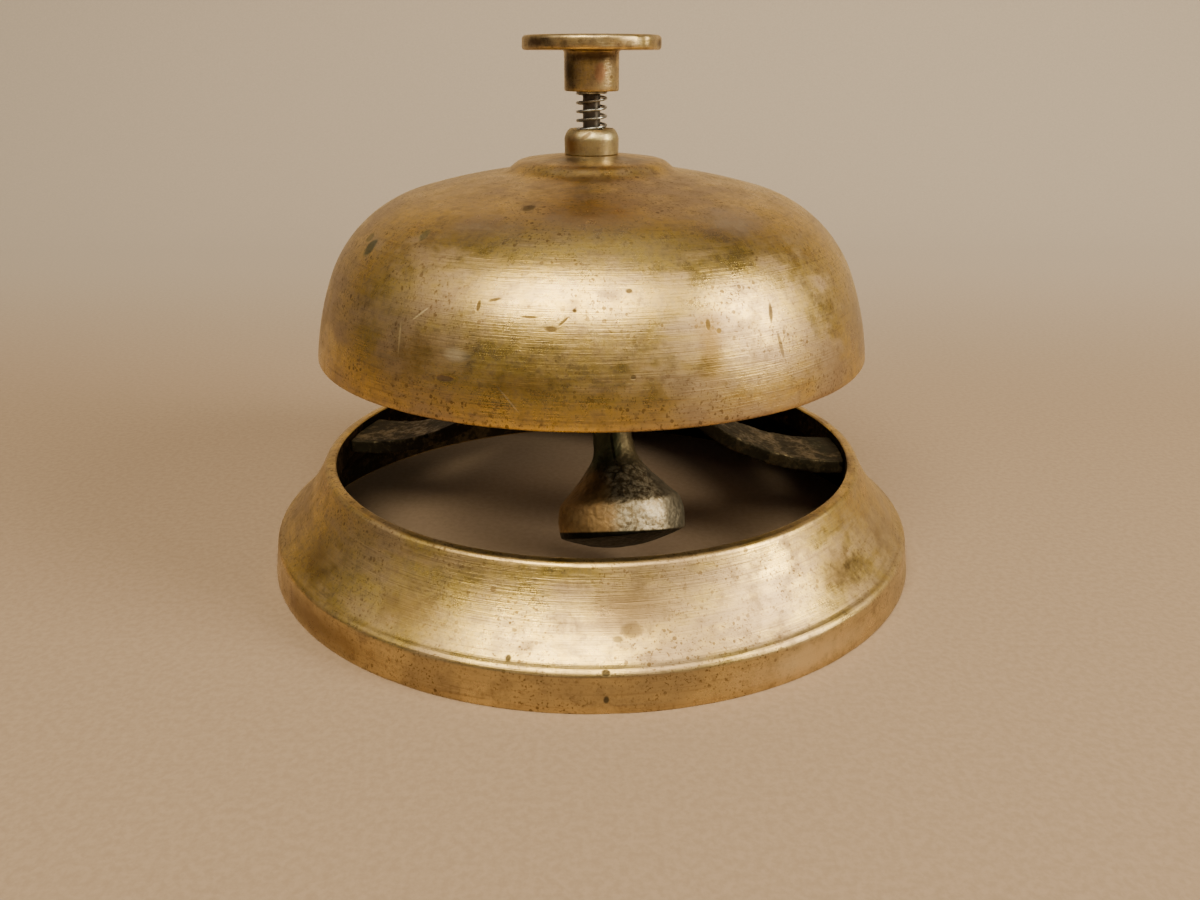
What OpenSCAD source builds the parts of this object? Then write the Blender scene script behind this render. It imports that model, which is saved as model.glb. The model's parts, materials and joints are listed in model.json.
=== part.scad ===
// Service bell: a brass bell on a pillar over an open base ring. Pressing the
// button drives a sprung rod down onto the tail of a pivoted clapper, and the
// clapper's head swings up and strikes the bell inside, just above its rim.
// Millimetres. The base stands on Z = 0 with the bell's axis on Z; -Y is the front.

/* [Base ring] */
// outside radius of the foot
foot_r = 62.5; // [61.5:0.1:64]
// height of the base ring's flat rim
rim_z = 19.7; // [19.4:0.1:20.4]
// inside radius of the rim
rim_in_r = 49.65; // [49.2:0.05:50]

/* [Bell] */
// outside radius of the bell's rim
bell_r = 51; // [50.5:0.1:52]
// height of the bell's rim above the table
bell_z = 40.4; // [40:0.1:40.8]
// wall thickness of the bell
bell_wall = 3; // [2.8:0.1:3.2]

/* [Push button] */
// radius of the button's disc
button_r = 12.1; // [8:0.1:15]
// height of the whole bell, to the top of the button
top_z = 94.8; // [94.4:0.1:96]

/* [Clapper] */
// distance from the pivot to the lower edge of the head
lever_len = 39.7; // [36:0.1:39.8]
// largest radius of the head
head_r = 11.7; // [10:0.1:11.8]
// angle of the lever below the horizontal at rest
lever_rest = 65; // [60:0.5:68]

/* [Hidden] */
$fn = 128;

// Outlines are drawn as paths. Each step is [radius, turn], or [length, 0] for a straight.

// gaps: turning and sliding fits, and joints that are screwed or brazed
run_gap = 0.05;
fit_gap = 0.03;
// how far one solid runs into another, and a cutter runs past a face
lap = 1;

// swing plane of the clapper, turned from the front towards the right
swing_az = 14.5;
pivot_r = 6;
pivot_z = 46.2;
pivot_pin_r = 1.5;

// base ring: foot band, rounded shoulder with a cove above it, hollow flare and rounded rim
band_h = 5.7;
band_taper = 0.8;
band_lean = 98;
shoulder = [[1.8, 54], [3, -15]];
flare_r = 37;
rim_w = 1.9;
rim_round = 1.2;
rim_straight = 5;
base_wall = 2.3;
edge = 0.3;

// bridge: arms at these azimuths, tapering in plan and sweeping up from the wall
arm_az = [0, 167];
arm_t = 3;
arm_w_axis = 9;
arm_w_wall = 14;
arm_top_z = 18.4;
arm_flat_r = 47;
arm_path = [[42, -30], [20, -44], [17.4, 0], [8, 60]];
boss_z = 54.2;
boss_h = 5.5;
boss_r = 7.5;
ear_t = 2.6;
ear_gap = 5;
ear_r = 4.2;
ear_back = 4.3;

// bell: its wall leans in from the rim, then bends to the crown's foot
bell_lean = 96;
bell_path = [[54.2, 15.7], [23.9, 52.6], [113, 8.1]];
bell_h = 34.6;
crown_t = 4.2;
crown_r = 12.3;
crown_drop = 0.78;
roof_r = 12.5;

// stack on the pillar
thread_r = 3.5;
lock_h = 3;
lock_af = 11.5;
lock_z = boss_z + boss_h;
body_r = 4.5;
seat_r = 7.2;
seat_t = 2;
seat_washer_t = 1;
spigot_r = 3.2;
crown_z = bell_z + bell_h;
bell_in_z = crown_z - crown_t;
collar_r = 4.85;
collar_h = 4.1;
collar_cap = 0.9;
collar_nose = 1.35;
collar_top = crown_z + collar_h;

// plunger
rod_r = 1.55;
disc_t = 2.4;
hub_r = 4.8;
hub_h = 6.7;
disc_z = top_z - disc_t;
hub_z = disc_z - hub_h;
stop_washer_t = 0.8;
stop_washer_r = 2.3;
stop_pin_r = 0.5;
stop_pin_len = 4.4;
stop_z = boss_z - 2.3;

// return spring
wire_r = 0.225;
spring_r = 2.54;
spring_coils = 4;

// clapper: head outline from its lower edge to the neck
head_lean = 80;
head_path = [[14, 22], [2.4, 36], [40, -12], [6, -32]];
head_dome = 2.6;
head_edge_r = head_r - head_path[0][0] * (1 - cos(90 - head_lean));
neck_r = 2.9;
neck_z = -8.2;
eye_r = 3.5;
eye_w = 4.6;
lever_t = 5.8;
tail_w = 3.4;
tail_t = 2.4;
tail_len = 5.4;
tail_up = 22.1;
nose_r = 1.3;
rod_end_z = pivot_z + tail_len * sin(tail_up) + nose_r + 0.08;

// pivot pin
pin_head_r = 2.6;
pin_head_h = 1.2;
pin_washer_r = 3;
pin_washer_t = 0.8;
pin_peen_h = 0.6;

// n points of an arc that starts at p with heading a, radius r and a turn of t degrees
function arc(p, a, r, t, n) =
    [for (i = [1:n]) let (s = t * i / n) p + 2 * r * sin(abs(s) / 2) * [cos(a + s / 2), sin(a + s / 2)]];
function last(v) = v[len(v) - 1];

// one step of a path, moved inset to the left of its heading
function step(p, a, s, inset, n) =
    s[1] == 0 ? [p + s[0] * [cos(a), sin(a)]] : arc(p, a, s[0] - sign(s[1]) * inset, s[1], n);

// points of a whole path, from step i on
function path(p, a, steps, inset = 0, n = 10, i = 0) =
    i == len(steps) ? [] :
        let (s = step(p, a, steps[i], inset, n))
            concat(s, path(last(s), a + steps[i][1], steps, inset, n, i + 1));

// a list of points the other way round
function back(v) = [for (i = [len(v) - 1:-1:0]) v[i]];

// a ring, tube or washer standing on z
module tube(r_out, r_in, z, h) {
    translate([0, 0, z])
        difference() {
            cylinder(r = r_out, h = h);
            translate([0, 0, -lap])
                cylinder(r = r_in, h = h + 2 * lap);
        }
}

// puts a child drawn in the (outward, up) plane into the clapper's swing plane
module in_swing_plane(width) {
    rotate([0, 0, swing_az - 90])
        translate([0, width / 2, 0])
            rotate([90, 0, 0])
                linear_extrude(height = width)
                    children();
}

// turns a child's Z axis onto the clapper's pivot axis
module on_pivot_axis() {
    rotate([0, 0, swing_az - 90])
        translate([pivot_r, 0, pivot_z])
            rotate([-90, 0, 0])
                children();
}

// cast brass base: foot band, rounded shoulder, cove, hollow flare and a narrow flat rim
module base_ring() {
    band_top = [foot_r - band_taper, band_h];
    bend = path(band_top, band_lean, shoulder, n = 8);
    rim_out = [rim_in_r + rim_w, rim_z];
    chord = rim_out - last(bend);
    half = asin(norm(chord) / 2 / flare_r);
    lean = atan2(chord[1], chord[0]);
    flare = path(last(bend), lean + half, [[flare_r, -2 * half]], n = 14);
    turn = 180 - lean + half;
    rise = rim_round * (1 - cos(turn));
    rim_bend = rim_out + [rise / tan(turn), -rise];
    inside = [for (i = [0:len(flare) - 5]) flare[i] - base_wall * [1, 0.55]];
    inner_foot_r = foot_r - base_wall;
    color("darkgoldenrod")
        rotate_extrude()
            polygon(concat(
                [[foot_r - edge, 0], [foot_r, edge], band_top], bend,
                [for (i = [0:len(flare) - 2]) flare[i]],
                [rim_bend], arc(rim_bend, 180 - turn, rim_round, turn, 5),
                [[rim_in_r + edge, rim_z], [rim_in_r, rim_z - edge], [rim_in_r, rim_z - rim_straight]],
                back(inside),
                [[inner_foot_r - 2 * edge, band_h - 4 * edge], [inner_foot_r, edge]],
                [[inner_foot_r + edge, 0]]));
}

// side outline of one arm: flat at the wall, then sweeping up and in to the boss
module arm_outline() {
    wall = [rim_in_r + lap, arm_top_z];
    flat_end = [arm_flat_r, arm_top_z];
    under = [0, arm_t];
    polygon(concat(
        [wall - under, wall, flat_end], path(flat_end, 180, arm_path),
        back(path(flat_end - under, 180, arm_path, arm_t)), [flat_end - under]));
}

// one arm, tapering in plan from the wall to the boss and cut to the wall's curve
module arm(az) {
    tall = boss_z + boss_h;
    rotate([0, 0, az])
        intersection() {
            translate([0, arm_w_wall, 0])
                rotate([90, 0, 0])
                    linear_extrude(height = 2 * arm_w_wall)
                        arm_outline();
            linear_extrude(height = tall)
                polygon([[0, -arm_w_axis / 2], [rim_in_r + lap, -arm_w_wall / 2],
                         [rim_in_r + lap, arm_w_wall / 2], [0, arm_w_axis / 2]]);
            cylinder(r = rim_in_r - fit_gap, h = tall);
        }
}

// ear plates that hold the clapper's pivot pin, under the boss
module ears() {
    root_z = boss_z + 2 * lap;
    difference() {
        in_swing_plane(ear_gap + 2 * ear_t)
            union() {
                translate([pivot_r, pivot_z])
                    circle(r = ear_r);
                polygon([[pivot_r - ear_r, pivot_z], [pivot_r + ear_r, pivot_z],
                         [pivot_r + lap, root_z], [-ear_back, root_z], [-ear_back, boss_z - lap]]);
            }
        in_swing_plane(ear_gap)
            translate([-boss_r, pivot_z - 3 * ear_r])
                square([3 * boss_r, boss_z - pivot_z + 3 * ear_r]);
        in_swing_plane(4 * ear_gap)
            translate([pivot_r, pivot_z])
                circle(r = pivot_pin_r, $fn = 48);
    }
}

// cast bridge: two swept arms, the pillar's boss and the pivot ears
module bridge() {
    color("saddlebrown")
        difference() {
            union() {
                for (az = arm_az)
                    arm(az);
                translate([0, 0, boss_z])
                    cylinder(r = boss_r, h = boss_h);
                ears();
            }
            translate([0, 0, boss_z - lap])
                cylinder(r = thread_r + fit_gap, h = boss_h + 2 * lap);
        }
}

// hollow pillar: threaded foot, body, seat for the bell and threaded top
module pillar() {
    seat_z = bell_in_z - seat_washer_t - seat_t;
    body_z = lock_z + lock_h + 0.1;
    color("peru")
        difference() {
            union() {
                translate([0, 0, boss_z])
                    cylinder(r = thread_r, h = body_z - boss_z + lap);
                translate([0, 0, body_z])
                    cylinder(r = body_r, h = seat_z - body_z + lap / 2);
                translate([0, 0, seat_z])
                    cylinder(r = seat_r, h = seat_t);
                translate([0, 0, seat_z + lap])
                    cylinder(r = spigot_r, h = collar_top - collar_cap - 0.1 - seat_z - lap);
            }
            translate([0, 0, boss_z - lap])
                cylinder(r = rod_r + run_gap, h = collar_top - boss_z + 2 * lap);
        }
}

// hexagon lock nut on the pillar's foot, its lower corners turned off
module pillar_lock_nut() {
    flat_r = lock_af / 2;
    cone_h = lock_h + 1.6;
    color("goldenrod")
        difference() {
            intersection() {
                translate([0, 0, lock_z])
                    cylinder(r = flat_r / cos(30), h = lock_h, $fn = 6);
                translate([0, 0, lock_z + lock_h - cone_h])
                    cylinder(r1 = flat_r + 3.4, r2 = flat_r + 0.1, h = cone_h);
            }
            translate([0, 0, lock_z - lap])
                cylinder(r = thread_r + fit_gap, h = lock_h + 2 * lap);
        }
}

// soft washer between the pillar's seat and the bell
module bell_seat_washer() {
    color("sienna")
        tube(seat_r + 0.6, spigot_r, bell_in_z - seat_washer_t, seat_washer_t);
}

// cast bell: three blended arcs from the rim to a raised crown
module bell() {
    rim = [bell_r, bell_z];
    rim_in = rim - [bell_wall, 0];
    outside = path(rim, bell_lean, bell_path);
    inside = path(rim_in, bell_lean, [bell_path[0], bell_path[1]], bell_wall);
    crown_edge = [crown_r, crown_z - crown_drop];
    bore = spigot_r + 0.1;
    color("goldenrod")
        rotate_extrude()
            polygon(concat(
                [rim - [2 * edge, 0], rim + [-edge / 2, 0.1], rim + [0, edge]], outside,
                [crown_edge + [3.1, -1.82], crown_edge + [2.4, -1.42], crown_edge + [1.1, -0.4]],
                [crown_edge + [0.6, -0.14], crown_edge, crown_edge + [-3.3, 0.43]],
                [[bore + 2, crown_z], [bore, crown_z], [bore, bell_in_z]],
                [[roof_r, bell_in_z], [roof_r + 1.5, bell_in_z - 0.7], [roof_r + 4.5, bell_in_z - 1.8]],
                back(inside),
                [rim_in + [0, edge], rim_in + [edge, 0]]));
}

// round-nosed nut that clamps the bell and carries the spring
module collar_nut() {
    nose = [collar_r, collar_top - collar_nose];
    color("khaki")
        difference() {
            rotate_extrude()
                polygon(concat(
                    [[0, crown_z], [collar_r - 0.15, crown_z], [collar_r, crown_z + 0.2], nose],
                    arc(nose, 106, 2, 50, 6),
                    [[collar_r - 1.4, collar_top], [0, collar_top]]));
            translate([0, 0, crown_z - lap])
                cylinder(r = spigot_r + fit_gap, h = collar_h + lap - collar_cap);
            translate([0, 0, crown_z])
                cylinder(r = rod_r + 0.3, h = collar_h + lap);
        }
}

// plunger rod, drilled across for the stop pin
module plunger_rod() {
    bevel = 0.2;
    color("dimgray")
        difference() {
            union() {
                translate([0, 0, rod_end_z + bevel])
                    cylinder(r = rod_r, h = disc_z - lap - rod_end_z - bevel);
                translate([0, 0, rod_end_z])
                    cylinder(r1 = rod_r - bevel, r2 = rod_r, h = bevel);
            }
            cross_pin(2 * stop_pin_len);
        }
}

// a pin of this length across the rod, at the stop's height
module cross_pin(length) {
    rotate([0, 0, swing_az])
        translate([-length / 2, 0, stop_z])
            rotate([0, 90, 0])
                cylinder(r = stop_pin_r, h = length, $fn = 32);
}

// washer that meets the foot of the pillar when the rod is up
module stop_washer() {
    color("silver")
        tube(stop_washer_r, rod_r, boss_z - 0.1 - stop_washer_t, stop_washer_t);
}

// cross pin under the stop washer
module stop_pin() {
    color("gray")
        cross_pin(stop_pin_len);
}

// turned push button: disc and hub in one, bored for the rod
module push_button() {
    round_under = 0.35;
    round_top = 0.6;
    fillet = 0.4;
    color("goldenrod")
        difference() {
            rotate_extrude()
                polygon(concat(
                    [[0, hub_z], [hub_r - edge / 2, hub_z], [hub_r, hub_z + edge / 2]],
                    [[hub_r, disc_z - fillet], [hub_r + fillet, disc_z]],
                    arc([button_r - round_under, disc_z], 0, round_under, 90, 4),
                    arc([button_r, top_z - round_top], 90, round_top, 90, 5),
                    [[0, top_z]]));
            translate([0, 0, hub_z - lap])
                cylinder(r = rod_r, h = hub_h);
        }
}

// return spring: a chain of half turns, each tilted by half a pitch
module return_spring() {
    free = hub_z - collar_top - 2 * wire_r;
    halves = 2 * spring_coils;
    rise = free / halves;
    tilt = atan(rise / 2 / spring_r);
    link = 0.3;
    color("slategray")
        translate([0, 0, collar_top + wire_r]) {
            half_turn(0, 0, 0);
            for (i = [0:halves - 1])
                half_turn((i + 0.5) * rise, i % 2 == 0 ? 180 : 0, tilt);
            half_turn(free, 180, 0);
            for (i = [0:halves])
                translate([i % 2 == 0 ? -spring_r : spring_r, link / 2, i * rise])
                    rotate([90, 0, 0])
                        cylinder(r = wire_r + 0.01, h = link, $fn = 16);
        }
}

// half a turn of wire on the +Y side at 0 and the -Y side at 180
module half_turn(z, turn, tilt) {
    short_of = 1;
    translate([0, 0, z])
        rotate([0, turn == 0 ? tilt : -tilt, 0])
            rotate([0, 0, turn + short_of])
                rotate_extrude(angle = 180 - 2 * short_of, $fn = 48)
                    translate([spring_r / cos(tilt), 0])
                        circle(r = wire_r, $fn = 16);
}

// cast clapper: flared head on a lever, pivot eye and a short tail with a round nose
module clapper() {
    color("dimgray")
        difference() {
            union() {
                rotate([0, 0, swing_az - 90])
                    translate([pivot_r, 0, pivot_z])
                        rotate([0, lever_rest - 90, 0])
                            clapper_head();
                in_swing_plane(eye_w)
                    lever_outline();
                in_swing_plane(tail_w)
                    tail_outline();
            }
            in_swing_plane(4 * eye_w)
                translate([pivot_r, pivot_z])
                    circle(r = pivot_pin_r + run_gap, $fn = 48);
        }
}

// head and neck about their own axis, with the pivot at the origin
module clapper_head() {
    cap_r = (pow(head_edge_r, 2) + pow(head_dome, 2)) / 2 / head_dome;
    cap = 2 * asin(head_edge_r / cap_r);
    bottom = [0, -lever_len - head_dome];
    dome = arc(bottom, 0, cap_r, cap / 2, 6);
    rotate_extrude()
        polygon(concat(
            [bottom], dome, path(last(dome), head_lean, head_path, n = 8),
            [[neck_r, neck_z], [neck_r - 0.7, neck_z + 1.6], [0, neck_z + 1.6]]));
}

// flat bar between the ears, from the eye down to the neck
module lever_outline() {
    translate([pivot_r, pivot_z]) {
        circle(r = eye_r);
        rotate(-lever_rest)
            translate([0, -lever_t / 2])
                square([2 * lever_t, lever_t]);
    }
}

// tail from the eye in to the rod's end
module tail_outline() {
    translate([pivot_r, pivot_z])
        rotate(180 - tail_up) {
            translate([0, nose_r - tail_t])
                square([tail_len, tail_t]);
            translate([tail_len, 0])
                circle(r = nose_r, $fn = 48);
        }
}

// pivot pin with a round head at the left and a peened end at the right
module pivot_pin() {
    half = ear_gap / 2 + ear_t;
    color("darkgray")
        on_pivot_axis()
            union() {
                translate([0, 0, -half - pin_head_h])
                    cylinder(r = pin_head_r, h = pin_head_h);
                translate([0, 0, -half - pin_head_h / 2])
                    cylinder(r = pivot_pin_r, h = 2 * half + pin_head_h / 2 + pin_washer_t + pin_peen_h);
                translate([0, 0, half + pin_washer_t])
                    cylinder(r1 = pivot_pin_r + 0.5, r2 = pivot_pin_r, h = pin_peen_h);
            }
}

// washer under the peened end of the pivot pin
module pivot_washer() {
    color("silver")
        on_pivot_axis()
            tube(pin_washer_r, pivot_pin_r, ear_gap / 2 + ear_t, pin_washer_t);
}

base_ring();
bridge();
pillar();
pillar_lock_nut();
bell_seat_washer();
bell();
collar_nut();
plunger_rod();
stop_washer();
stop_pin();
push_button();
return_spring();
clapper();
pivot_pin();
pivot_washer();
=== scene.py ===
import json
import math

import bpy
from mathutils import Matrix, Vector, noise

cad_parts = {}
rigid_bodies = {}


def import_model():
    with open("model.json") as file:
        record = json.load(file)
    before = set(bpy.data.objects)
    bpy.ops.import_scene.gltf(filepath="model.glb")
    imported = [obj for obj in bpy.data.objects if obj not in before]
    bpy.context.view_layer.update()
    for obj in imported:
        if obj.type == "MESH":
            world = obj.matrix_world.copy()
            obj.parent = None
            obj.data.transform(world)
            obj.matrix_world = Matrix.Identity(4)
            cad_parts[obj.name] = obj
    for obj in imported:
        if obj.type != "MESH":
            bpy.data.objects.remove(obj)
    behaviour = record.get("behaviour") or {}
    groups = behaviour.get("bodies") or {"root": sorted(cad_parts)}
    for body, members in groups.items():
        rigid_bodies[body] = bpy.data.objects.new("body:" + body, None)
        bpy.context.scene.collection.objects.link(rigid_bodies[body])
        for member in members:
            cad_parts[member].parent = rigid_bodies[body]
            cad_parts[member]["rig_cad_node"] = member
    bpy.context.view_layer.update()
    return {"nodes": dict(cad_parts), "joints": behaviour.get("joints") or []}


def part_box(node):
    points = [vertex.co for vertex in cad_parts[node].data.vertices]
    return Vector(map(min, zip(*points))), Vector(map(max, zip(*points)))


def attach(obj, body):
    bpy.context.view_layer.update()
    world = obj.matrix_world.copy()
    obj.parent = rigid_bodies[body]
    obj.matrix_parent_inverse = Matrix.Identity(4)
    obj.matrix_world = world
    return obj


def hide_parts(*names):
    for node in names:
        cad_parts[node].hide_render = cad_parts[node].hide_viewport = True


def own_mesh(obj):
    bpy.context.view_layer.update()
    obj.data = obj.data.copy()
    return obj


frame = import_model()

MM = 0.001
TAU = 2 * math.pi
nodes = frame["nodes"]


# ---------------------------------------------------------------- places, from the frame
def size(node):
    lo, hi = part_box(node)
    return lo, hi, (hi.x - lo.x) / 2


BASE_LO, BASE_HI, BASE_R = size("base_ring")
BELL_LO, BELL_HI, BELL_R = size("bell")
NUT_LO, NUT_HI, NUT_R = size("collar_nut")
BUTTON_LO, BUTTON_HI, BUTTON_R = size("push_button")
SPRING_LO, SPRING_HI, SPRING_R = size("return_spring")
SWING = next(j for j in frame["joints"] if j["name"] == "clapper_swing")
PIVOT = Vector(SWING["pos_m"])
OUTWARD = Vector((PIVOT.x, PIVOT.y, 0.0)).normalized()

# The clapper's own axes: its lever hangs this far below the horizontal, and its head ends this far down it.
LEVER_DROP = math.radians(65)
HEAD_EDGE = -39.7 * MM
LEVER = OUTWARD * math.cos(LEVER_DROP) - Vector((0, 0, 1)) * math.sin(LEVER_DROP)
ACROSS = Vector((-OUTWARD.y, OUTWARD.x, 0.0))
HEAD_TURN = Matrix((ACROSS, LEVER.cross(ACROSS) * -1.0, -LEVER)).transposed().to_euler()


# ---------------------------------------------------------------- mesh helpers
def arc(start, heading, radius, turn, steps):
    """Points (r, z) of an arc that starts at start; heading and turn are in degrees, left is positive."""
    points = []
    for i in range(1, steps + 1):
        part = turn * i / steps
        chord = 2 * radius * math.sin(math.radians(abs(part)) / 2)
        angle = math.radians(heading + part / 2)
        points.append((start[0] + chord * math.cos(angle), start[1] + chord * math.sin(angle)))
    return points


def new_object(name, vertices, faces, smooth=True):
    mesh = bpy.data.meshes.new(name)
    mesh.from_pydata(vertices, [], faces)
    mesh.validate()
    mesh.polygons.foreach_set("use_smooth", [smooth] * len(mesh.polygons))
    obj = bpy.data.objects.new(name, mesh)
    bpy.context.scene.collection.objects.link(obj)
    return obj


def sharpen(obj, degrees=32):
    """Keeps edges sharper than this crisp under smooth shading."""
    obj.data.set_sharp_from_angle(angle=math.radians(degrees))


def densify(profile, longest):
    """Adds points to a closed profile so that no step is longer than longest."""
    out = []
    for a, b in zip(profile, profile[1:] + profile[:1]):
        steps = max(1, math.ceil(math.dist(a, b) / longest))
        out += [(a[0] + (b[0] - a[0]) * i / steps, a[1] + (b[1] - a[1]) * i / steps) for i in range(steps)]
    return out


def lathe(name, profile, segments, wear=None):
    """Turns a closed (r, z) profile in mm about Z.

    wear(angle, r, z) gives how far a point moves inwards and down, in mm.
    """
    vertices, faces = [], []
    count = len(profile)
    for s in range(segments):
        angle = TAU * s / segments
        for r, z in profile:
            cut = wear(angle, r, z) if wear else (0.0, 0.0)
            rr, zz = r - cut[0], z - cut[1]
            vertices.append((rr * math.cos(angle) * MM, rr * math.sin(angle) * MM, zz * MM))
    for s in range(segments):
        t = (s + 1) % segments
        for k in range(count):
            m = (k + 1) % count
            faces.append((s * count + k, t * count + k, t * count + m, s * count + m))
    obj = new_object(name, vertices, faces)
    sharpen(obj)
    return obj


def wander(angle, turns, seed, z=0.0):
    """Smooth noise from -1 to 1 round a turned piece, with no seam."""
    return noise.noise(Vector((math.cos(angle) * turns, math.sin(angle) * turns, seed + z)))


# ---------------------------------------------------------------- outlines of the turned pieces, in mm
def bell_profile():
    """The bell: three blended arcs from the rim to a raised crown, then the roof and the inside."""
    rim, top = BELL_LO.z / MM, BELL_HI.z / MM
    radius, wall, bore = BELL_R / MM, 3.0, 3.3
    bend_radii, bend_turns, first = (54.2, 23.9, 113.0), (15.7, 52.6, 8.1), 96.0

    def shell(start, inset, steps):
        points, heading = [], first
        for bend, turn, count in zip(bend_radii[:steps], bend_turns, (16, 40, 14)):
            points += arc(points[-1] if points else start, heading, bend - inset, turn, count)
            heading += turn
        return points

    outside = shell((radius, rim), 0.0, 3)
    inside = shell((radius - wall, rim), wall, 2)
    lip_out = arc((radius - 0.55, rim), 0.0, 0.5, 84.0, 5)
    lip_in = arc((radius - wall, rim + 0.3), -90.0, 0.3, 90.0, 4)
    crown = [(15.4, top - 2.6), (14.7, top - 2.2), (14.0, top - 1.62), (13.4, top - 1.18),
             (12.9, top - 0.95), (12.3, top - 0.78), (11.2, top - 0.62), (9.0, top - 0.35), (5.3, top),
             (bore + 0.3, top), (bore, top - 0.25)]
    ceiling = top - 4.2
    roof = [(bore, ceiling), (12.5, ceiling), (14.0, ceiling - 0.7), (17.0, ceiling - 1.8)]
    return [(radius - 0.55, rim)] + lip_out + outside + crown + roof + inside[::-1] + lip_in


def base_profile():
    """The base ring: foot band, rounded shoulder, cove, hollow flare, rounded rim and the inside."""
    foot, rim_z = BASE_R / MM, BASE_HI.z / MM
    rim_in, rim_w, wall, rim_round = 49.65, 1.9, 2.3, 1.2
    band = (foot - 0.8, 5.7)
    shoulder = arc(band, 98.0, 1.8, 54.0, 12)
    shoulder += arc(shoulder[-1], 152.0, 3.0, -15.0, 6)
    rim_out = (rim_in + rim_w, rim_z)
    start = shoulder[-1]
    flare_radius = 37.0
    chord = math.dist(start, rim_out)
    half = math.degrees(math.asin(chord / 2 / flare_radius))
    lean = math.degrees(math.atan2(rim_out[1] - start[1], rim_out[0] - start[0]))
    flare = arc(start, lean + half, flare_radius, -2 * half, 30)
    inside = [(p[0] - wall, p[1] - wall * 0.55) for p in flare[:24]]
    turn = 180.0 - lean + half
    rise = rim_round * (1 - math.cos(math.radians(turn)))
    rim_bend = (rim_out[0] + rise / math.tan(math.radians(turn)), rim_z - rise)
    edge_out = [rim_bend] + arc(rim_bend, 180.0 - turn, rim_round, turn, 9)
    edge_in = arc((rim_in + 0.4, rim_z), 180.0, 0.4, 90.0, 5)
    foot_edge = [(foot - 0.45, 0.0), (foot - 0.15, 0.08), (foot - 0.02, 0.45)]
    foot_in = [(foot - wall - 0.6, 4.5), (foot - wall, 0.35), (foot - wall + 0.3, 0.0)]
    return (foot_edge + [band] + shoulder + flare[:-2] + edge_out + [(rim_in + 0.4, rim_z)] + edge_in
            + [(rim_in, rim_z - 5)] + inside[::-1] + foot_in)


def button_profile():
    """The push button: hub with a blind bore, and a disc with rounded edges."""
    top, low = BUTTON_HI.z / MM, BUTTON_LO.z / MM
    radius, hub, thick, bore = BUTTON_R / MM, 4.8, 2.4, 1.55
    under = top - thick
    return ([(bore, low), (hub - 0.3, low)] + arc((hub - 0.3, low), 0.0, 0.3, 90.0, 4)
            + [(hub, under - 0.5)] + arc((hub, under - 0.5), 90.0, 0.5, -90.0, 4)
            + [(radius - 0.5, under)] + arc((radius - 0.5, under), 0.0, 0.5, 90.0, 5)
            + arc((radius, top - 0.75), 90.0, 0.75, 82.0, 8)
            + [(radius - 3, top - 0.02), (0.02, top), (0.02, under - 1), (bore, under - 1)])


def nut_profile():
    """The collar nut: straight side, round nose, and a bore that narrows under the top."""
    low, top, radius = NUT_LO.z / MM, NUT_HI.z / MM, NUT_R / MM
    bore, small = 3.23, 1.85
    crown = arc((radius, top - 1.4), 96.0, 2.6, 44.0, 8)
    return ([(bore, low), (radius - 0.2, low), (radius - 0.03, low + 0.2), (radius, top - 1.4)] + crown
            + [(3.35, top - 0.06), (3.1, top), (small, top), (small, top - 0.9), (bore, top - 0.9)])


def radius_at(outline, height):
    """The outermost radius of a closed outline at this height."""
    found = []
    for (r1, z1), (r2, z2) in zip(outline, outline[1:] + outline[:1]):
        if z1 != z2 and min(z1, z2) <= height <= max(z1, z2):
            found.append(r1 + (r2 - r1) * (height - z1) / (z2 - z1))
    return max(found)


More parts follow.
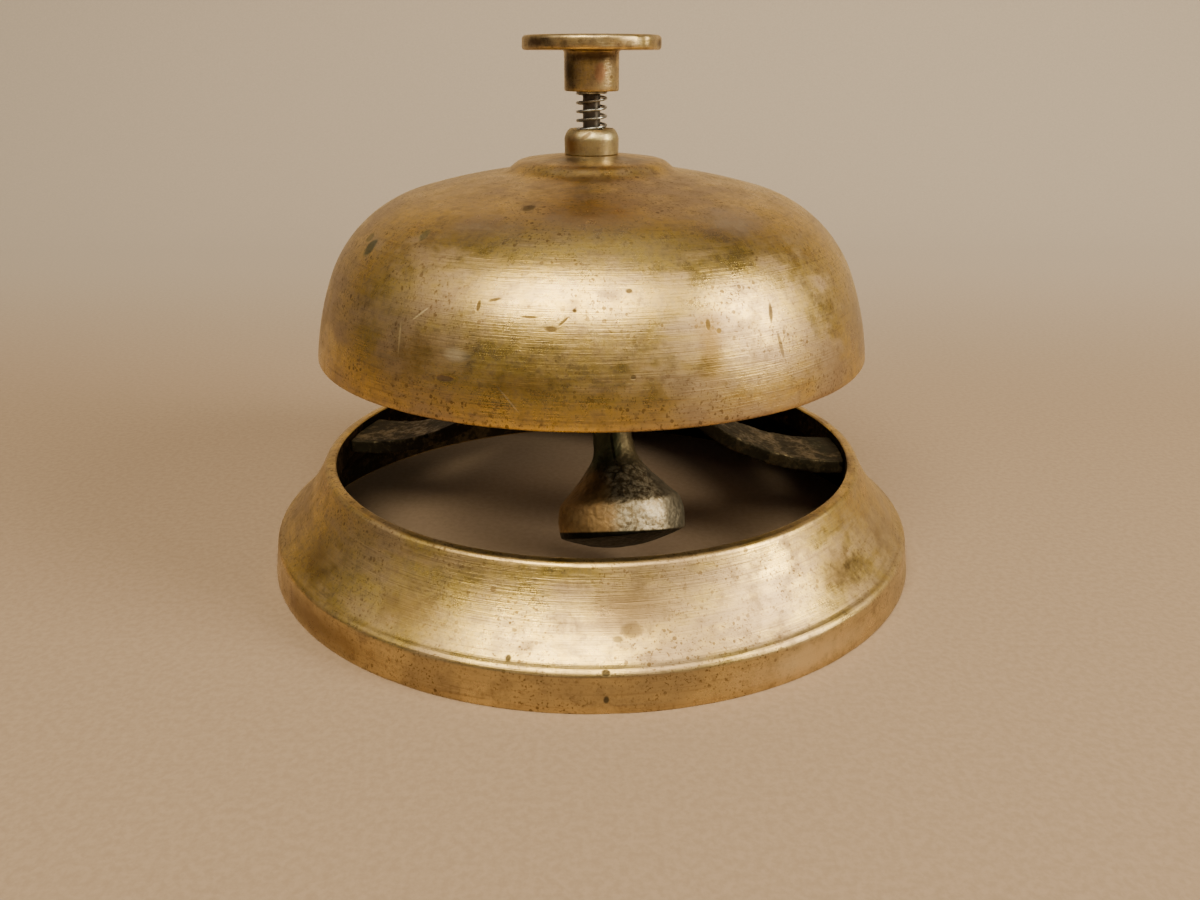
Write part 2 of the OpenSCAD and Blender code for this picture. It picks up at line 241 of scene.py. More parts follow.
# ---------------------------------------------------------------- material helpers
class Graph:
    """A material's node tree. add() makes a node, sets its inputs and returns it."""

    def __init__(self, name):
        self.material = bpy.data.materials.new(name)
        self.material.use_nodes = True
        self.tree = self.material.node_tree
        self.tree.nodes.clear()

    def add(self, kind, inputs=None, **settings):
        node = self.tree.nodes.new(kind)
        for key, value in settings.items():
            setattr(node, key, value)
        for key, value in (inputs or {}).items():
            if isinstance(value, bpy.types.NodeSocket):
                self.tree.links.new(value, node.inputs[key])
            else:
                node.inputs[key].default_value = value
        return node

    def math(self, operation, a, b=0.0, clamp=False):
        node = self.add("ShaderNodeMath", {0: a, 1: b}, operation=operation, use_clamp=clamp)
        return node.outputs[0]

    def noise(self, vector, scale, detail=3.0, roughness=0.55, distortion=0.0):
        node = self.add(
            "ShaderNodeTexNoise",
            {"Vector": vector, "Scale": scale, "Detail": detail, "Roughness": roughness,
             "Distortion": distortion},
        )
        return node.outputs[0]

    def ramp(self, value, low, high, out_low=0.0, out_high=1.0):
        node = self.add(
            "ShaderNodeMapRange",
            {"Value": value, "From Min": low, "From Max": high, "To Min": out_low, "To Max": out_high},
            interpolation_type="SMOOTHSTEP",
        )
        return node.outputs[0]

    def mix(self, amount, a, b, blend="MIX"):
        node = self.add("ShaderNodeMix", {0: amount}, data_type="RGBA", blend_type=blend)
        for index, value in ((6, a), (7, b)):
            if isinstance(value, bpy.types.NodeSocket):
                self.tree.links.new(value, node.inputs[index])
            else:
                node.inputs[index].default_value = (*value, 1.0)
        return node.outputs[2]

    def place(self):
        """The point in the row frame, in metres."""
        return self.add("ShaderNodeTexCoord").outputs["Object"]

    def turned(self, place, around, along):
        """Coordinates that stretch detail round Z, as a lathe leaves it: around and along are scales."""
        split = self.add("ShaderNodeSeparateXYZ", {0: place})
        x, y, z = split.outputs
        squares = self.math("ADD", self.math("MULTIPLY", x, x), self.math("MULTIPLY", y, y))
        radius = self.math("SQRT", squares)
        safe = self.math("MAXIMUM", radius, 1e-5)
        outline = self.math("MULTIPLY", self.math("SUBTRACT", z, radius), along)
        joined = self.add(
            "ShaderNodeCombineXYZ",
            {
                0: self.math("MULTIPLY", self.math("DIVIDE", x, safe), around),
                1: self.math("MULTIPLY", self.math("DIVIDE", y, safe), around),
                2: outline,
            },
        )
        return joined.outputs[0]

    def spots(self, place, scale, size_of, share, ragged):
        """Specks with ragged edges: 1 inside, 0 outside. share is how many of the cells hold one."""
        loose = self.add("ShaderNodeVectorMath", {0: ragged, 1: (0.5, 0.5, 0.5)}, operation="SUBTRACT")
        bent = self.add("ShaderNodeVectorMath", {0: loose.outputs[0], 3: 0.25 * MM}, operation="SCALE")
        moved = self.add("ShaderNodeVectorMath", {0: place, 1: bent.outputs[0]}, operation="ADD")
        cells = self.add("ShaderNodeTexVoronoi",
                         {"Vector": moved.outputs[0], "Scale": scale, "Randomness": 1.0})
        split = self.add("ShaderNodeSeparateColor", {0: cells.outputs["Color"]})
        radius = self.math("MULTIPLY", split.outputs[1], size_of)
        inside = self.math("LESS_THAN", cells.outputs["Distance"], radius)
        chosen = self.math("LESS_THAN", split.outputs[0], share)
        return self.math("MULTIPLY", inside, chosen)

    def mark(self, place, spot, ragged):
        """One listed mark: 1 in its middle, 0 outside its ragged oval."""
        local = self.add(
            "ShaderNodeMapping",
            {"Vector": place, "Location": spot["at"], "Rotation": spot["turn"], "Scale": spot["size"]},
            vector_type="TEXTURE",
        )
        away = self.add("ShaderNodeVectorMath", {0: local.outputs[0]}, operation="LENGTH").outputs["Value"]
        edge = self.math("MULTIPLY", self.math("SUBTRACT", ragged, 0.5), spot["ragged"])
        full_within = 0.1 if spot.get("soft") else 0.55
        return self.ramp(self.math("ADD", away, edge), full_within, 1.05, spot["depth"], 0.0)

    def bump(self, height, strength, distance, normal=None):
        inputs = {"Height": height, "Strength": strength, "Distance": distance}
        if normal is not None:
            inputs["Normal"] = normal
        return self.add("ShaderNodeBump", inputs).outputs[0]

    def shade(self, **inputs):
        shader = self.add("ShaderNodeBsdfPrincipled", inputs)
        output = self.add("ShaderNodeOutputMaterial")
        self.tree.links.new(shader.outputs[0], output.inputs["Surface"])
        return self.material


def brass(name, bright, dull, dark, rough=0.33, streak=1.0, specks=1.0, marks=(), band=None):
    """Old turned brass: tarnish clouds, lathe streaks, specks, pits and listed marks."""
    g = Graph(name)
    place = g.place()
    clouds = g.noise(place, 48.0, 5.0, 0.62, 0.6)
    mottle = g.noise(place, 260.0, 5.0, 0.65)
    peel = g.noise(place, 750.0, 4.0, 0.7)
    grit_node = g.add("ShaderNodeTexNoise",
                      {"Vector": place, "Scale": 2400.0, "Detail": 2.0, "Roughness": 0.6})
    grit, loose = grit_node.outputs[0], grit_node.outputs[1]
    lines = g.noise(g.turned(place, 5.0, 4200.0), 1.0, 3.0, 0.6)
    scores = g.noise(g.turned(place, 2.2, 1300.0), 1.0, 3.0, 0.55)
    patch = g.noise(g.turned(place, 4.5, 240.0), 1.0, 4.0, 0.6)

    blend = g.math("ADD", g.math("MULTIPLY", clouds, 0.6), g.math("MULTIPLY", patch, 0.4))
    tarnish = g.ramp(blend, 0.40, 0.62)
    rich = (bright[0], bright[1] * 0.97, bright[2] * 0.72)
    colour = g.mix(g.ramp(peel, 0.42, 0.60), rich, bright)
    colour = g.mix(tarnish, colour, dull)
    if band is not None:
        # A greyer tone for the low band.
        band_tone = g.mix(tarnish, (0.64, 0.485, 0.24), (0.46, 0.34, 0.17))
        colour = g.mix(band(g, place), colour, band_tone)
    colour = g.mix(g.ramp(mottle, 0.48, 0.74, 0.0, 0.5), colour, dark)
    colour = g.mix(g.ramp(peel, 0.50, 0.72, 0.0, 0.45), colour, dark)
    colour = g.mix(g.ramp(lines, 0.50, 0.78, 0.0, 0.40 * streak), colour, dark)
    colour = g.mix(g.ramp(scores, 0.56, 0.74, 0.0, 0.35 * streak), colour, dark)

    dense = g.ramp(g.noise(place, 95.0, 3.0, 0.6), 0.38, 0.60, 0.25, 1.0)
    fine = g.math("MULTIPLY", g.ramp(grit, 0.56, 0.67, 0.0, 0.7 * specks), dense)
    small = g.math("MULTIPLY", g.spots(place, 1200.0, 0.42, 0.34 * specks, loose), dense)
    large = g.spots(place, 330.0, 0.16, 0.07 * specks, loose)
    spotted = g.math("MAXIMUM", g.math("MULTIPLY", small, 0.7), g.math("MULTIPLY", large, 0.65))
    speck = g.math("MAXIMUM", fine, spotted)
    colour = g.mix(speck, colour, (0.11, 0.06, 0.022))

    wear, deep = g.math("MULTIPLY", speck, 0.4), None
    for spot in marks:
        here = g.mark(place, spot, mottle)
        colour = g.mix(here, colour, spot["tint"])
        if not spot["bright"]:
            wear = g.math("MAXIMUM", wear, here)
            deep = here if deep is None else g.math("MAXIMUM", deep, here)

    rough_value = g.ramp(tarnish, 0.0, 1.0, rough - 0.05, rough + 0.09)
    rough_value = g.math("ADD", rough_value, g.ramp(mottle, 0.35, 0.75, -0.03, 0.10))
    rough_value = g.math("ADD", rough_value, g.math("MULTIPLY", wear, 0.25), clamp=True)

    fine_lines = g.math("MULTIPLY", lines, 0.7 * streak)
    height = g.math("ADD", fine_lines, g.math("MULTIPLY", scores, 0.6 * streak))
    normal = g.bump(height, 0.55, 0.07 * MM)
    if deep is not None:
        normal = g.bump(g.math("SUBTRACT", 1.0, deep), 0.30, 0.06 * MM, normal)
    normal = g.bump(peel, 0.22, 0.10 * MM, normal)
    normal = g.bump(mottle, 0.14, 0.18 * MM, normal)
    tangent = g.add("ShaderNodeTangent", direction_type="RADIAL", axis="Z").outputs[0]
    return g.shade(**{"Base Color": colour, "Metallic": 1.0, "Roughness": rough_value, "Normal": normal,
                      "Anisotropic": 0.35, "Tangent": tangent})


def cast_metal(name, high, low, green, rough=0.55, grain=1.0):
    """Rough cast brass, dark with age: sand texture, dark hollows, worn bright tops and green traces."""
    g = Graph(name)
    place = g.place()
    sand = g.noise(place, 900.0, 6.0, 0.7)
    lumps = g.noise(place, 190.0, 4.0, 0.6)
    clouds = g.noise(place, 75.0, 4.0, 0.6, 0.8)
    blend = g.math("ADD", g.math("MULTIPLY", lumps, 0.55), g.math("MULTIPLY", sand, 0.45))
    worn = g.ramp(blend, 0.46, 0.62)
    colour = g.mix(worn, low, high)
    colour = g.mix(g.ramp(clouds, 0.55, 0.72, 0.0, 0.6), colour, green)
    loose = g.add("ShaderNodeTexNoise", {"Vector": place, "Scale": 1500.0}).outputs[1]
    pits = g.spots(place, 330.0, 0.30, 0.25, loose)
    colour = g.mix(g.math("MULTIPLY", pits, 0.8), colour, (0.02, 0.016, 0.01))
    normal = g.bump(lumps, 0.35 * grain, 0.5 * MM)
    normal = g.bump(sand, 0.45 * grain, 0.18 * MM, normal)
    normal = g.bump(g.math("SUBTRACT", 1.0, pits), 0.6, 0.2 * MM, normal)
    rough_value = g.ramp(worn, 0.0, 1.0, rough + 0.14, rough - 0.08)
    return g.shade(**{"Base Color": colour, "Metallic": 1.0, "Roughness": rough_value, "Normal": normal})


def clapper_metal(name):
    """Rough cast brass: a brown left cheek that is also a painted warm reflection, a chalky worn front, a
    grey right cheek, and a neck and underside painted dark as shade.
    """
    g = Graph(name)
    place = g.place()
    local = g.add("ShaderNodeMapping", {"Vector": place, "Location": PIVOT, "Rotation": HEAD_TURN},
                  vector_type="TEXTURE").outputs[0]
    across, _, along = g.add("ShaderNodeSeparateXYZ", {0: local}).outputs
    sand = g.noise(place, 1100.0, 5.0, 0.7)
    lumps = g.noise(place, 260.0, 4.0, 0.6)
    clouds = g.noise(place, 110.0, 3.0, 0.6, 0.6)
    cells = g.add("ShaderNodeTexVoronoi", {"Vector": place, "Scale": 420.0}, feature="DISTANCE_TO_EDGE")
    cracks = g.ramp(cells.outputs["Distance"], 0.02, 0.09, 0.8, 0.0)

    side = g.math("ADD", across, g.math("MULTIPLY", g.math("SUBTRACT", clouds, 0.5), 9 * MM))
    # Brown cast brass; this brown stays on the left cheek, where it is also a painted warm reflection.
    colour = g.mix(g.ramp(lumps, 0.42, 0.62), (0.56, 0.35, 0.15), (0.40, 0.235, 0.095))
    chalk = g.mix(g.ramp(sand, 0.40, 0.62), (0.25, 0.185, 0.105), (0.60, 0.50, 0.35))
    chalk = g.mix(g.math("MULTIPLY", cracks, g.ramp(clouds, 0.40, 0.60)), chalk, (0.06, 0.05, 0.035))
    colour = g.mix(g.ramp(side, -6 * MM, -2.5 * MM), colour, chalk)
    colour = g.mix(g.ramp(side, 2.5 * MM, 6.5 * MM, 0.0, 0.85), colour, (0.17, 0.145, 0.105))
    height = g.math("ADD", along, g.math("MULTIPLY", g.math("SUBTRACT", lumps, 0.5), 6 * MM))
    # Painted shade: the neck is painted dark, its left face darker than its right.
    neck = g.mix(g.ramp(side, -1.2 * MM, 0.6 * MM), (0.13, 0.135, 0.07), (0.21, 0.165, 0.09))
    seam = g.math("ABSOLUTE", g.math("ADD", across, 1.1 * MM))
    neck = g.mix(g.ramp(seam, 0.1 * MM, 0.35 * MM, 0.8, 0.0), neck, (0.020, 0.018, 0.012))
    neck = g.mix(g.ramp(sand, 0.50, 0.70, 0.0, 0.5), neck, (0.17, 0.13, 0.08))
    colour = g.mix(g.ramp(height, HEAD_EDGE + 9.5 * MM, HEAD_EDGE + 14 * MM), colour, neck)
    # Painted shade: the head's underside is painted nearly black.
    edge = g.math("ADD", along, g.math("MULTIPLY", across, 0.07))
    under = g.ramp(edge, HEAD_EDGE + 0.4 * MM, HEAD_EDGE + 0.8 * MM, 1.0, 0.0)
    colour = g.mix(under, colour, (0.016, 0.014, 0.009))

    normal = g.bump(lumps, 0.22, 0.4 * MM)
    normal = g.bump(sand, 0.30, 0.12 * MM, normal)
    normal = g.bump(g.math("SUBTRACT", 1.0, cracks), 0.15, 0.10 * MM, normal)
    rough_value = g.ramp(sand, 0.3, 0.7, 0.46, 0.62)
    return g.shade(**{"Base Color": colour, "Metallic": 1.0, "Roughness": rough_value, "Normal": normal})


def steel(name, tint, stain, rough=0.35):
    """Drawn or turned steel, dulled, with brown stains."""
    g = Graph(name)
    place = g.place()
    clouds = g.noise(place, 420.0, 4.0, 0.6)
    lines = g.noise(g.turned(place, 6.0, 9000.0), 1.0, 2.0)
    colour = g.mix(g.ramp(clouds, 0.45, 0.68), tint, stain)
    normal = g.bump(lines, 0.25, 0.04 * MM)
    rough_value = g.ramp(clouds, 0.3, 0.7, rough - 0.05, rough + 0.2)
    return g.shade(**{"Base Color": colour, "Metallic": 1.0, "Roughness": rough_value, "Normal": normal})


def fibre(name):
    """Pressed fibre washer: reddish, matt, with fine fibres."""
    g = Graph(name)
    place = g.place()
    strands = g.noise(place, 1800.0, 4.0, 0.7, 1.5)
    colour = g.mix(g.ramp(strands, 0.35, 0.7), (0.16, 0.07, 0.04), (0.32, 0.16, 0.09))
    return g.shade(**{"Base Color": colour, "Roughness": g.ramp(strands, 0.3, 0.8, 0.75, 0.92),
                      "Normal": g.bump(strands, 0.4, 0.1 * MM)})


def plain_floor(name):
    """Plain warm paper, fading a little paler towards the back."""
    g = Graph(name)
    place = g.place()
    _, back, height = g.add("ShaderNodeSeparateXYZ", {0: place}).outputs
    away = g.math("ADD", back, height)
    paper = g.noise(place, 900.0, 4.0, 0.6)
    table = g.mix(g.ramp(paper, 0.3, 0.7), (0.275, 0.187, 0.120), (0.32, 0.222, 0.146))
    backdrop = g.mix(g.ramp(paper, 0.3, 0.7), (0.46, 0.375, 0.30), (0.50, 0.41, 0.33))
    colour = g.mix(g.ramp(away, 0.05, 0.36), table, backdrop)
    return g.shade(**{"Base Color": colour, "Roughness": 0.9, "Normal": g.bump(paper, 0.10, 0.2 * MM)})


def dress(obj, material, inside=None, chosen=None):
    """Gives a piece its material, and a second one to the faces that chosen(face) picks."""
    obj.data.materials.clear()
    obj.data.materials.append(material)
    if inside is not None:
        obj.data.materials.append(inside)
        for face in obj.data.polygons:
            face.material_index = 1 if chosen(face) else 0
    return obj


def inside_of(above):
    """Picks the faces of a turned shell that look inwards or down, above a height in metres."""
    def chosen(face):
        flat = Vector((face.center.x, face.center.y, 0.0)).normalized()
        return face.center.z > above and face.normal.dot(flat) < 0.05 and face.normal.z < 0.3
    return chosen


def low_band(low, high, amount):
    """A zone below a height where the brass takes a greyer tone, fading out between low and high, in mm."""
    def band(g, place):
        z = g.add("ShaderNodeSeparateXYZ", {0: place}).outputs[2]
        return g.ramp(z, low * MM, high * MM, amount, 0.0)
    return band


def wide(azimuth, height, long, tall, tint, depth, tilt=0.0):
    """A broad soft patch that shifts a part's tone, placed as mark() places a mark; some are painted shade
    or painted highlight.
    """
    spot = mark(azimuth, height, long, tall, tint, depth, tilt, ragged=1.6, bright=True)
    spot["size"] = (long * MM, 6 * MM, tall * MM)
    spot["soft"] = True
    return spot


def mark(azimuth, height, long, tall, tint, depth=0.9, tilt=0.0, ragged=1.2, bright=False):
    """A mark on a turned part. Azimuth is in degrees from the front towards the right, tilt from the
    horizontal. Height over the part's lowest point and half sizes are in mm."""
    return {"azimuth": math.radians(azimuth), "height": height, "tilt": math.radians(tilt),
            "size": (long * MM, 2.5 * MM, tall * MM), "tint": tint, "depth": depth, "ragged": ragged,
            "bright": bright}


def laid_on(outline, marks):
    """Puts marks on the surface of a turned part, at their places in the row frame."""
    low = min(z for _, z in outline)
    placed = []
    for spot in marks:
        height, a = low + spot["height"], spot["azimuth"]
        radius = radius_at(outline, height) * MM
        placed.append({**spot, "at": (radius * math.sin(a), -radius * math.cos(a), height * MM),
                       "turn": (0.0, -spot["tilt"], a)})
    return placed


# The larger marks, part by part: azimuth, height, half length, half height, tint, depth.
GREEN = (0.045, 0.052, 0.034)
BROWN = (0.05, 0.027, 0.010)
DARK = (0.03, 0.02, 0.012)
PLUM = (0.10, 0.065, 0.055)
SCRATCH = (0.85, 0.66, 0.34)

BELL_MARKS = (
    mark(-58, 22, 1.7, 1.9, GREEN, 0.85),
    mark(-62, 23, 1.4, 0.8, GREEN, 0.6),
    mark(-42, 25, 1.1, 1.0, GREEN, 0.7),
    mark(21, 14.5, 0.45, 0.9, DARK, 0.9, ragged=0.6),
    mark(-7, 14.5, 1.25, 0.5, BROWN, 0.75, ragged=0.7),
    mark(-5, 15.5, 1.1, 0.22, BROWN, 0.8, tilt=40, ragged=0.7),
    mark(-11, 16, 1.5, 0.22, BROWN, 0.8, ragged=0.7),
    mark(-21, 17, 0.35, 0.9, BROWN, 0.8, ragged=0.8),
    mark(-18, 18, 1.3, 0.25, BROWN, 0.7, tilt=14, ragged=0.8),
    mark(34, 23.5, 0.4, 0.4, DARK, 0.8),
    mark(7, 8, 0.6, 0.4, DARK, 0.8),
    mark(10, 7.5, 0.5, 0.3, DARK, 0.6),
    mark(-10, 9.5, 1.0, 1.0, BROWN, 0.6),
    mark(-26, 6.5, 1.9, 0.5, PLUM, 0.8),
    mark(-19, 29, 1.2, 0.5, BROWN, 0.7),
    mark(7, 19.5, 0.6, 0.35, BROWN, 0.8),
    mark(-3, 17, 0.45, 0.4, BROWN, 0.8),
    mark(9, 13, 1.2, 0.9, BROWN, 0.5),
    mark(23, 13.5, 0.5, 0.4, (0.30, 0.19, 0.05), 0.9),
    mark(35, 15, 0.45, 1.7, BROWN, 0.7, tilt=-12),
    mark(36, 10, 0.45, 2.4, BROWN, 0.5, tilt=8),
    mark(-14, 4.5, 3.1, 0.16, SCRATCH, 0.8, tilt=-46, ragged=0.5, bright=True),
    mark(-37, 11, 0.22, 3.0, SCRATCH, 0.6, tilt=6, ragged=0.5, bright=True),
    mark(-33, 15, 2.2, 0.18, SCRATCH, 0.6, tilt=38, ragged=0.5, bright=True),
    mark(-24, 10, 2.6, 1.2, (0.55, 0.44, 0.28), 0.6, bright=True),
    # Painted shade: a tall dark patch in the gap between the bell's two highlights.
    wide(21, 11, 3.2, 9.0, (0.30, 0.18, 0.05), 0.75),
    wide(-32, 9.5, 6.0, 5.0, (0.30, 0.18, 0.05), 0.7),
    wide(-12, 7, 9.0, 2.6, (0.32, 0.19, 0.055), 0.6),
    wide(0, 28, 12.0, 5.0, (0.48, 0.37, 0.25), 0.8),
    wide(0, 34.5, 14.0, 1.6, (0.20, 0.15, 0.10), 0.9),
    mark(0, 32, 5.0, 0.8, (0.16, 0.09, 0.035), 0.7),
    wide(38, 27, 11.0, 5.0, (0.46, 0.35, 0.25), 0.8),
    wide(-30, 27, 9.0, 5.0, (0.44, 0.33, 0.22), 0.8),
    wide(70, 9, 12.0, 10.0, (0.34, 0.23, 0.12), 0.8),
)
BASE_MARKS = (
    mark(2, 6.5, 0.7, 0.5, DARK, 0.85),
    mark(2, 2.5, 0.6, 0.8, DARK, 0.8),
    mark(-12, 7.5, 0.6, 0.5, DARK, 0.85),
    mark(6, 11, 2.0, 1.3, BROWN, 0.55),
    mark(4, 10, 1.0, 0.5, DARK, 0.5),
    # Painted shade: the darker middle of the flare, between its two highlights.
    wide(6, 13.5, 10.0, 6.5, (0.21, 0.135, 0.06), 0.95),
    wide(-30, 10.5, 8.0, 5.0, (0.34, 0.21, 0.07), 0.75),
    wide(47, 11, 8.0, 5.5, (0.20, 0.125, 0.05), 0.9),
    wide(-55, 10.5, 9.0, 5.0, (0.34, 0.21, 0.07), 0.6),
    # Painted shade: the left of the foot band is darkened.
    wide(-48, 3, 26.0, 3.4, (0.27, 0.175, 0.07), 0.95),
    # Painted highlight: the right of the foot band is lightened.
    wide(34, 3, 20.0, 3.4, (0.78, 0.60, 0.34), 0.8),
    wide(68, 10.5, 9.0, 6.0, (0.34, 0.23, 0.11), 0.7),
)
BUTTON_MARKS = (
    wide(-48, 7.9, 5.0, 1.2, (0.10, 0.055, 0.025), 0.9),
    mark(-22, 7.7, 1.1, 0.8, BROWN, 0.6, ragged=2.4),
    mark(-9, 7.9, 0.5, 0.3, BROWN, 0.6, ragged=2.4),
    mark(12, 7.5, 0.9, 0.3, BROWN, 0.5, ragged=2.4),
    mark(30, 7.4, 0.7, 0.5, BROWN, 0.5, ragged=2.4),
    wide(74, 7.7, 2.6, 1.2, (0.12, 0.07, 0.03), 0.9),
    wide(-55, 3.3, 3.4, 4.5, (0.06, 0.035, 0.015), 0.95),
    wide(0, 5.9, 7.0, 1.7, (0.07, 0.04, 0.02), 0.9),
    mark(18, 2.9, 1.3, 1.9, (0.40, 0.20, 0.11), 0.8, bright=True),
)
NUT_MARKS = (
    wide(-52, 1.8, 2.6, 3.0, (0.24, 0.12, 0.035), 0.9),
    mark(-12, 3.4, 1.4, 0.5, (0.16, 0.10, 0.05), 0.7, tilt=35),
)

BELL_BRASS = brass("bell_brass", (0.70, 0.485, 0.165), (0.435, 0.30, 0.165), (0.20, 0.125, 0.07),
                   marks=laid_on(bell_profile(), BELL_MARKS))
BASE_BRASS = brass("base_brass", (0.70, 0.49, 0.16), (0.42, 0.29, 0.15), (0.19, 0.12, 0.065),
                   marks=laid_on(base_profile(), BASE_MARKS), band=low_band(5.8, 6.6, 0.9))
INSIDE_BRASS = cast_metal("inside_brass", (0.13, 0.085, 0.04), (0.035, 0.024, 0.012), (0.03, 0.03, 0.018),
                          rough=0.6, grain=0.6)
BUTTON_BRASS = brass("button_brass", (0.66, 0.49, 0.25), (0.39, 0.285, 0.155), (0.125, 0.08, 0.045),
                     rough=0.34, specks=0.7, marks=laid_on(button_profile(), BUTTON_MARKS))
NUT_BRASS = brass("nut_brass", (0.52, 0.43, 0.26), (0.36, 0.28, 0.15), (0.18, 0.12, 0.06),
                  rough=0.34, specks=0.4, marks=laid_on(nut_profile(), NUT_MARKS))
PLAIN_BRASS = brass("plain_brass", (0.45, 0.30, 0.12), (0.28, 0.17, 0.07), (0.11, 0.065, 0.026),
                    rough=0.4)
CAST_BRASS = cast_metal("cast_brass", (0.19, 0.145, 0.08), (0.05, 0.04, 0.024), (0.045, 0.05, 0.03))
CLAPPER_METAL = clapper_metal("clapper_metal")
DARK_STEEL = steel("dark_steel", (0.12, 0.105, 0.09), (0.05, 0.036, 0.025))
WIRE_STEEL = steel("wire_steel", (0.34, 0.34, 0.33), (0.12, 0.10, 0.08), rough=0.25)
FIBRE = fibre("fibre")


# ---------------------------------------------------------------- bell
def bell_wear(angle, r, z):
    """Faint waviness from turning by hand, and tiny knocks along the rim."""
    rim = BELL_LO.z / MM
    if r <= 16:
        return (0.0, 0.0)
    wave = 0.035 * (1 + wander(angle, 1.3, 4.0, z * 0.05))
    knock = 0.0
    if r > 49:
        near_rim = math.exp(-((z - rim) / 0.5) ** 2)
        knock = 0.28 * max(0.0, wander(angle, 9.0, 11.0) - 0.25) * near_rim
    return (wave + knock, 0.0)


bell = lathe("bell_shell", densify(bell_profile(), 1.3), 288, bell_wear)
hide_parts("bell")
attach(bell, "stand")
dress(bell, BELL_BRASS, INSIDE_BRASS, inside_of(BELL_LO.z + 0.4 * MM))


# ---------------------------------------------------------------- base ring
def base_wear(angle, r, z):
    """Slow unevenness of the flare, knocks on the rim's edges and the foot's edge."""
    rim_z = BASE_HI.z / MM
    wave = 0.03 * (1 + wander(angle, 1.1, 21.0, z * 0.08))
    rim_knock = max(0.0, wander(angle, 12.0, 31.0) - 0.2) * 0.25 * math.exp(-((z - rim_z) / 0.5) ** 2)
    foot_knock = max(0.0, wander(angle, 10.0, 41.0) - 0.2) * 0.3 * math.exp(-(z / 0.6) ** 2)
    outer = 1.0 if r > 50.8 else 0.0
    return (outer * (wave + rim_knock + foot_knock), 0.4 * rim_knock)


base = lathe("base_casting", densify(base_profile(), 1.3), 320, base_wear)
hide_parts("base_ring")
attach(base, "stand")
dress(base, BASE_BRASS, INSIDE_BRASS, inside_of(BASE_LO.z + 0.4 * MM))


# ---------------------------------------------------------------- push button and collar nut
def button_wear(angle, r, z):
    """The disc's edge is worn and slightly nicked all round."""
    if r < BUTTON_R / MM - 1.6:
        return (0.0, 0.0)
    wear = 0.22 * max(0.0, wander(angle, 5.0, 51.0, z * 0.4))
    nick = 0.35 * max(0.0, wander(angle, 14.0, 61.0) - 0.3)
    return (wear + nick, 0.0)


button = lathe("button_turned", densify(button_profile(), 0.6), 160, button_wear)
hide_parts("push_button")
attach(button, "plunger")
dress(button, BUTTON_BRASS)


nut = lathe("collar_turned", densify(nut_profile(), 0.4), 128)
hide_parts("collar_nut")
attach(nut, "stand")
dress(nut, NUT_BRASS)


# ---------------------------------------------------------------- return spring
def spring_path(steps_per_turn):
    """Centre line of the wire in mm: a closed end turn, open coils, a closed end turn."""
    low, high = SPRING_LO.z / MM, SPRING_HI.z / MM
    wire = 0.225
    radius = SPRING_R / MM - wire
    turns, closed = 5.0, 0.5
    total = int(turns * steps_per_turn)
    points = []
    for i in range(total + 1):
        turn = turns * i / total
        share = min(1.0, max(0.0, (turn - closed) / (turns - 2 * closed)))
        eased = share + 0.012 * math.sin(TAU * share)
        angle = TAU * turn + 0.6
        points.append(Vector((radius * math.cos(angle), radius * math.sin(angle),
                              low + wire + (high - low - 2 * wire) * eased)))
    return points


def wire_mesh(name, path, radius, sides=14):
    """A round wire along a path in mm, with domed ends."""
    vertices, faces = [], []
    count = len(path)
    for i, point in enumerate(path):
        ahead = (path[min(i + 1, count - 1)] - path[max(i - 1, 0)]).normalized()
        side = ahead.cross(Vector((0, 0, 1))).normalized()
        up = side.cross(ahead)
        thin = 0.75 if i in (0, count - 1) else 1.0
        for k in range(sides):
            a = TAU * k / sides
            vertices.append((point + (side * math.cos(a) + up * math.sin(a)) * radius * thin) * MM)
    for i in range(count - 1):
        for k in range(sides):
            m = (k + 1) % sides
            faces.append((i * sides + k, (i + 1) * sides + k, (i + 1) * sides + m, i * sides + m))
    faces.append(tuple(range(sides)))
    faces.append(tuple((count - 1) * sides + k for k in reversed(range(sides))))
    return new_object(name, vertices, faces)


spring = wire_mesh("spring_wire", spring_path(48), 0.225)
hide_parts("return_spring")
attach(spring, "stand")
dress(spring, WIRE_STEEL)
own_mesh(spring)


# ---------------------------------------------------------------- castings: clapper and bridge
def cloud_texture(name, size_mm, depth=2):
    texture = bpy.data.textures.new(name, "CLOUDS")
    texture.noise_scale = size_mm * MM
    texture.noise_depth = depth
    return texture


def casting(name, node, voxel_mm, lumps_mm, sand_mm, smooth):
    """A copy of a CAD casting with its edges softened and its skin made uneven, as sand leaves it."""
    mesh = nodes[node].data.copy()
    mesh.name = name
    obj = bpy.data.objects.new(name, mesh)
    bpy.context.scene.collection.objects.link(obj)
    remesh = obj.modifiers.new("skin", "REMESH")
    remesh.mode = "VOXEL"
    remesh.voxel_size = voxel_mm * MM
    remesh.use_smooth_shade = True
    soften = obj.modifiers.new("soft_edges", "SMOOTH")
    soften.factor, soften.iterations = 0.5, smooth
    for label, grain, depth in (("lumps", lumps_mm, 1), ("sand", sand_mm, 3)):
        move = obj.modifiers.new(label, "DISPLACE")
        move.texture = cloud_texture(f"{name}_{label}", grain[0], depth)
        move.texture_coords = "LOCAL"
        move.strength = grain[1] * MM
        move.mid_level = 1.0
    return obj


clapper = casting("clapper_cast", "clapper", 0.22, (5.0, 0.30), (0.8, 0.13), smooth=3)
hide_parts("clapper")
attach(clapper, "striker")
dress(clapper, CLAPPER_METAL)

bridge = casting("bridge_cast", "bridge", 0.3, (4.0, 0.25), (1.1, 0.14), smooth=4)
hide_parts("bridge")
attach(bridge, "stand")
dress(bridge, CAST_BRASS)


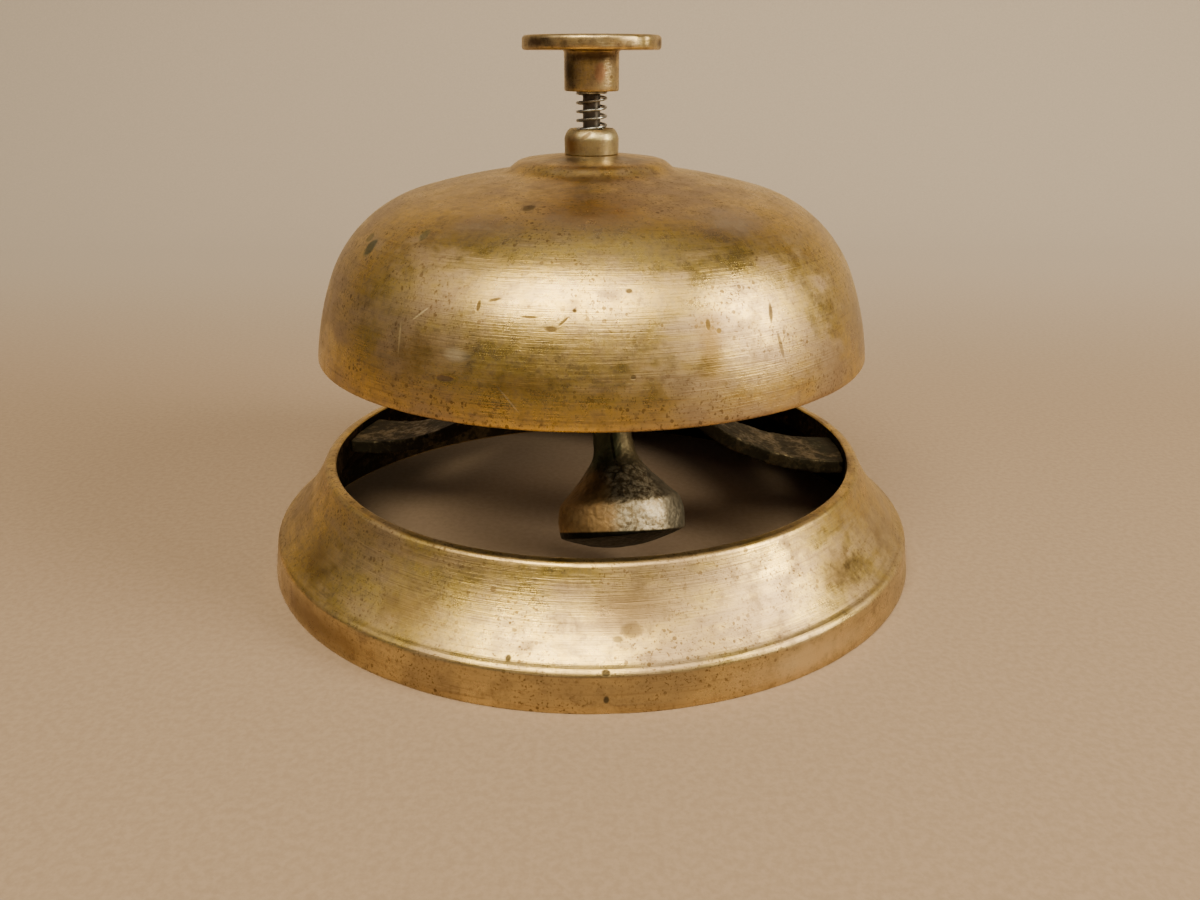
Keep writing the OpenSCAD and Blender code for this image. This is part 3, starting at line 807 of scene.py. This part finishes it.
# ---------------------------------------------------------------- small turned parts, as the CAD made them
for node, material in (
    ("pillar", PLAIN_BRASS), ("pillar_lock_nut", PLAIN_BRASS), ("bell_seat_washer", FIBRE),
    ("plunger_rod", DARK_STEEL), ("stop_washer", DARK_STEEL), ("stop_pin", DARK_STEEL),
    ("pivot_pin", DARK_STEEL), ("pivot_washer", DARK_STEEL),
):
    dress(nodes[node], material)


# ---------------------------------------------------------------- stage, lights and camera
def sweep():
    """A plain floor that curves up into a backdrop."""
    half, back, bend, top = 2.2, 0.62, 0.30, 1.6
    outline = [(-1.6, 0.0), (back - bend, 0.0)]
    outline += [(back - bend + bend * math.sin(math.radians(a)), bend * (1 - math.cos(math.radians(a))))
                for a in range(6, 91, 6)]
    outline.append((back, top))
    vertices = [(x, y, z) for y, z in outline for x in (-half, half)]
    faces = [(2 * i, 2 * i + 1, 2 * i + 3, 2 * i + 2) for i in range(len(outline) - 1)]
    floor = new_object("floor", vertices, faces)
    floor.data.materials.append(plain_floor("floor_paper"))


def softbox(name, azimuth, elevation, distance, width, height, power, tint):
    """An area light aimed at the bell. Azimuth 0 is the front, 90 the right."""
    data = bpy.data.lights.new(name, "AREA")
    data.shape, data.size, data.size_y = "RECTANGLE", width, height
    data.energy, data.color = power, tint
    lamp = bpy.data.objects.new(name, data)
    bpy.context.scene.collection.objects.link(lamp)
    a, e = math.radians(azimuth), math.radians(elevation)
    away = Vector((math.sin(a) * math.cos(e), -math.cos(a) * math.cos(e), math.sin(e)))
    lamp.location = Vector((0, 0, 0.05)) + away * distance
    lamp.rotation_mode = "QUATERNION"
    lamp.rotation_quaternion = (-away).to_track_quat("-Z", "Y")


def camera():
    """Close in front of the bell and level with its button, looking down at it."""
    data = bpy.data.cameras.new("camera")
    data.sensor_width, data.lens = 36.0, 30.0
    data.shift_x = 0.0070
    data.clip_start, data.clip_end = 0.01, 10.0
    cam = bpy.data.objects.new("camera", data)
    bpy.context.scene.collection.objects.link(cam)
    cam.location = (0.0, -0.18668, 0.09118)
    cam.rotation_euler = (math.radians(90 - 21.43), 0.0, 0.0)
    bpy.context.scene.camera = cam


def world():
    scene_world = bpy.data.worlds.new("studio")
    bpy.context.scene.world = scene_world
    scene_world.use_nodes = True
    background = scene_world.node_tree.nodes["Background"]
    background.inputs[0].default_value = (0.80, 0.73, 0.66, 1.0)
    background.inputs[1].default_value = 0.16


sweep()
softbox("key", -12, 51, 0.9, 0.80, 0.40, 13.5, (1.0, 0.91, 0.67))
softbox("window", 70, 26, 0.9, 0.32, 0.5, 9.5, (1.0, 0.92, 0.71))
softbox("fill", -75, 35, 1.1, 0.7, 0.7, 0.7, (1.0, 0.90, 0.80))
softbox("top", 0, 88, 1.2, 0.9, 0.9, 1.3, (1.0, 0.95, 0.88))
camera()
world()
